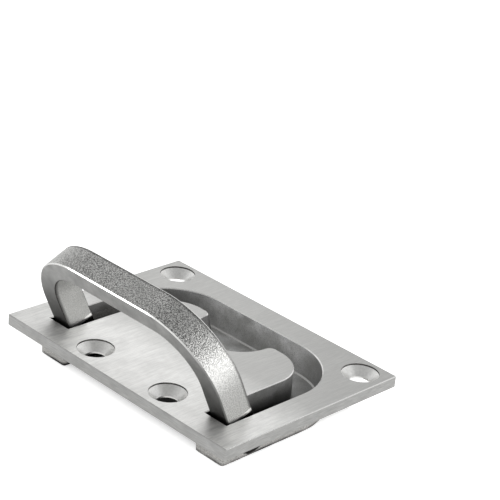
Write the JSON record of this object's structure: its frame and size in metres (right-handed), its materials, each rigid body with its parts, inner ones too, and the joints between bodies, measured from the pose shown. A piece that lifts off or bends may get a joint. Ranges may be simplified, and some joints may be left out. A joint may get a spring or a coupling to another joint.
{
  "type": "flush pull handle",
  "caption": "Cast flush pull handle: rectangular countersunk flange, U-shaped channel with finger scoop, and a bail that swings up on two welded pins.",
  "frame": {"origin": "centre of the flange's back face, which lies on the panel round the cut-out", "axes": "+Z out of the panel through the show face, +X along the pivot axis and the flange's long side, +Y from the pivots towards the arch of the folded bail"},
  "size_m": [0.11, 0.0835, 0.0508],
  "materials": {
    "cast_stainless": "investment-cast stainless steel, show face linished, underside bead-blasted",
    "blasted_stainless": "investment-cast stainless steel, bead-blasted, long edges polished",
    "welded_pin": "stainless steel rod, ends welded and heat-tinted"
  },
  "bodies": {
    "base": {"base_plate": "cast_stainless", "pivot_pin_left": "welded_pin", "pivot_pin_right": "welded_pin"},
    "bail": {"pull_bail": "blasted_stainless"}
  },
  "joints": [
    {"name": "bail_hinge", "type": "hinge", "parent": "base", "child": "bail", "pos_m": [0, -0.0184, -0.0032], "axis": [1, 0, 0], "range_deg": [-114.7, 0]}
  ]
}
